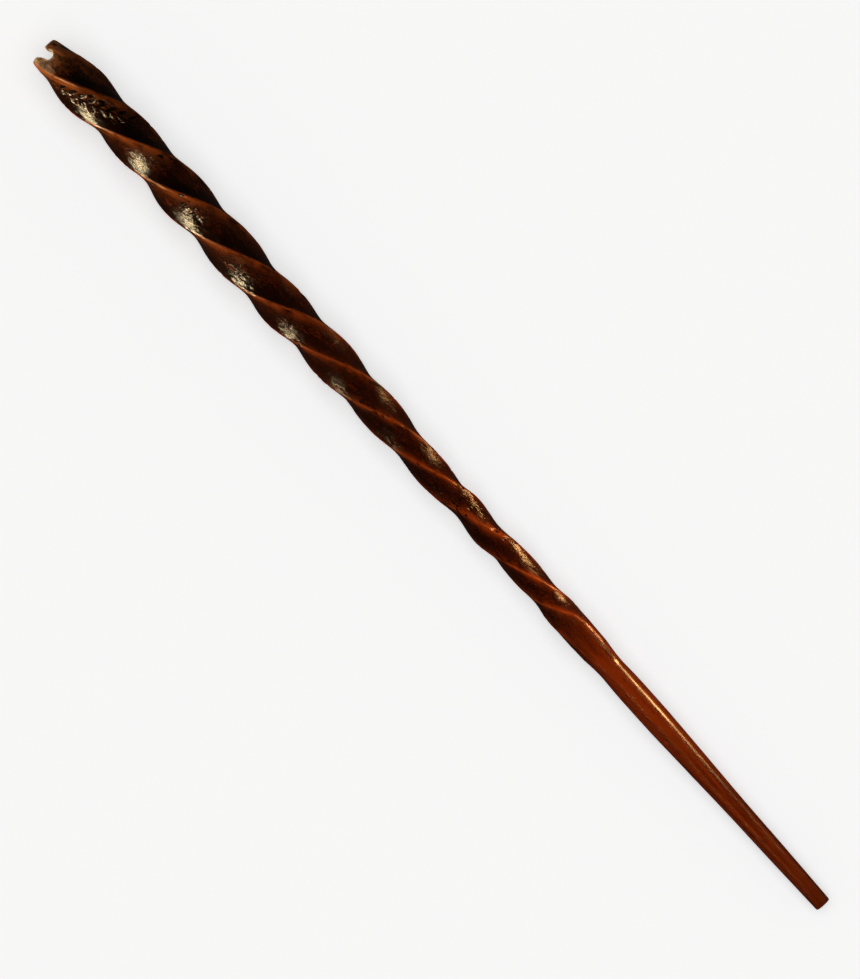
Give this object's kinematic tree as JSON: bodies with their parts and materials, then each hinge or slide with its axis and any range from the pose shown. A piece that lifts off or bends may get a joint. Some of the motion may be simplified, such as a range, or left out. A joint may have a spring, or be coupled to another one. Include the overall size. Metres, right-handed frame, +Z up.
{
  "type": "magic wand",
  "caption": "Twisted magic wand with a ridged handle, a bite in the butt and a plain tapered shaft, cast in resin over a steel rod.",
  "frame": {"origin": "on the ground plane, below the middle of the wand as it lies", "axes": "+X from the butt to the tip, +Y to the left of someone who looks from the butt to the tip, +Z up. The wand's own axis leans 1.08 degrees down towards the tip, because it lies on a handle ridge and on the thinner shaft."},
  "size_m": [0.3678, 0.0172, 0.0177],
  "materials": {
    "stained_resin": "gloss",
    "core_steel": "satin",
    "raw_resin": "matte",
    "stained_plug": "satin"
  },
  "bodies": {
    "root": {"twisted_body": "stained_resin", "core_rod": "core_steel", "butt_collar": "raw_resin", "middle_collar": "raw_resin", "tip_collar": "raw_resin", "tip_plug": "stained_plug"}
  },
  "joints": []
}
